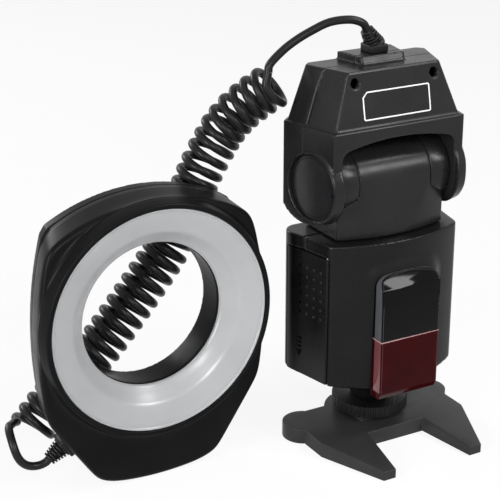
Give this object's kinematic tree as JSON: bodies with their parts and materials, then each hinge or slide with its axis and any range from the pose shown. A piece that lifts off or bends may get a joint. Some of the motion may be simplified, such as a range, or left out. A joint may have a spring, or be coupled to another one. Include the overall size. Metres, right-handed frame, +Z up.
{
  "type": "macro ring flash",
  "caption": "Ring light for close-up work on a curly cord, with an upright control unit that has a swivelling and tilting head and stands by its shoe foot on a small base.",
  "frame": {"origin": "on the floor, at the mouth of the base's tripod thread, on the axis of the shoe foot", "axes": "+X to the control unit's right, away from the ring; +Y to the back; +Z up"},
  "size_m": [0.2264, 0.0994, 0.2014],
  "materials": {
    "body_plastic": "fine satin moulding",
    "head_plastic": "fine satin moulding",
    "gloss_black": "polished",
    "red_plastic": "polished, dark red and clear",
    "frosted": "frosted, lets light through",
    "cord_rubber": "matt",
    "wheel_plastic": "matt",
    "bright_metal": "brushed",
    "plated_contact": "plated",
    "screw_steel": "plated",
    "cell_steel": "plain metal sleeve",
    "board": "coated",
    "capacitor_sleeve": "shrunk sleeve",
    "coil_winding": "varnished",
    "lamp_plastic": "clear red",
    "key_rubber": "matt",
    "test_key": "clear red",
    "tube_glass": "clear",
    "reflector_foil": "bright"
  },
  "bodies": {
    "control_unit": {"body_front_shell": "body_plastic", "body_rear_shell": "body_plastic", "window_panel": "gloss_black", "red_window": "red_plastic", "light_sensor": "lamp_plastic", "battery_tray": "body_plastic", "battery_cells": "cell_steel", "tray_contacts": "plated_contact", "flash_capacitor": "capacitor_sleeve", "charge_transformer": "coil_winding", "main_board": "board", "key_board": "board", "control_panel": "gloss_black", "level_lamps": "lamp_plastic", "foot_bracket": "bright_metal", "shoe_foot": "bright_metal", "contact_spring": "bright_metal", "ring_front_shell": "head_plastic", "ring_rear_shell": "head_plastic", "ring_diffuser": "frosted", "ring_reflector": "reflector_foil", "flash_tube": "tube_glass", "trigger_board": "board", "trigger_coil": "coil_winding", "ring_screws": "screw_steel", "lower_boot": "cord_rubber", "lead_upper": "cord_rubber", "curly_cord": "cord_rubber", "lead_lower": "cord_rubber"},
    "door_pin": {"door_hinge_pin": "bright_metal"},
    "door": {"battery_door": "body_plastic", "door_contacts": "plated_contact"},
    "switch": {"power_switch": "key_rubber"},
    "minus_key": {"minus_button": "key_rubber"},
    "plus_key": {"plus_button": "key_rubber"},
    "mode_key": {"mode_button": "key_rubber"},
    "test_key": {"test_button": "test_key"},
    "shoe_contact": {"contact_pin": "plated_contact"},
    "lock_bolt": {"lock_pin": "bright_metal"},
    "wheel": {"lock_wheel": "wheel_plastic"},
    "base": {"mini_base": "body_plastic", "thread_insert": "plated_contact"},
    "neck": {"neck_saddle": "head_plastic", "barrel_collars": "head_plastic", "swivel_post": "bright_metal"},
    "cap": {"tilt_axle": "bright_metal", "cap_front_shell": "head_plastic", "cap_rear_shell": "head_plastic", "ear_discs": "head_plastic", "cap_screws": "screw_steel", "cord_gland": "head_plastic", "upper_boot": "cord_rubber"}
  },
  "joints": [
    {"name": "door_slide", "type": "slide", "parent": "control_unit", "child": "door_pin", "axis": [0, 0, -1], "range_m": [0, 0.004]},
    {"name": "door_swing", "type": "hinge", "parent": "door_pin", "child": "door", "pos_m": [-0.0345, -0.0139, 0.065], "axis": [0, 0, 1], "range_deg": [0, 90]},
    {"name": "power_slide", "type": "slide", "parent": "control_unit", "child": "switch", "axis": [1, 0, 0], "range_m": [0, 0.005]},
    {"name": "minus_press", "type": "slide", "parent": "control_unit", "child": "minus_key", "axis": [0, -1, 0], "range_m": [0, 0.0008], "stiffness_N_per_m": 1000},
    {"name": "plus_press", "type": "slide", "parent": "control_unit", "child": "plus_key", "axis": [0, -1, 0], "range_m": [0, 0.0008], "stiffness_N_per_m": 1000},
    {"name": "mode_press", "type": "slide", "parent": "control_unit", "child": "mode_key", "axis": [0, -1, 0], "range_m": [0, 0.0008], "stiffness_N_per_m": 1000},
    {"name": "test_press", "type": "slide", "parent": "control_unit", "child": "test_key", "axis": [0, -1, 0], "range_m": [0, 0.0008], "stiffness_N_per_m": 1000},
    {"name": "contact_press", "type": "slide", "parent": "control_unit", "child": "shoe_contact", "axis": [0, 0, 1], "range_m": [0, 0.0006], "stiffness_N_per_m": 800, "deforming": ["contact_spring"]},
    {"name": "wheel_turn", "type": "hinge", "parent": "control_unit", "child": "wheel", "pos_m": [0, 0, 0.0128], "axis": [0, 0, 1], "range_deg": [0, 300]},
    {"name": "lock_drop", "type": "slide", "parent": "control_unit", "child": "lock_bolt", "axis": [0, 0, -1], "range_m": [0, 0.0011]},
    {"name": "base_slide", "type": "slide", "parent": "control_unit", "child": "base", "axis": [0, -1, 0], "range_m": [0, 0.022]},
    {"name": "head_swivel", "type": "hinge", "parent": "control_unit", "child": "neck", "pos_m": [0, 0, 0.1033], "axis": [0, 0, 1], "range_deg": [-180, 90], "deforming": ["lead_upper", "curly_cord"]},
    {"name": "head_tilt", "type": "hinge", "parent": "neck", "child": "cap", "pos_m": [0, 0, 0.128], "axis": [1, 0, 0], "range_deg": [0, 90], "deforming": ["lead_upper", "curly_cord"]}
  ],
  "couplings": [
    {"joint": "lock_drop", "follows": "wheel_turn", "m_per_rad": 0.00021008}
  ]
}
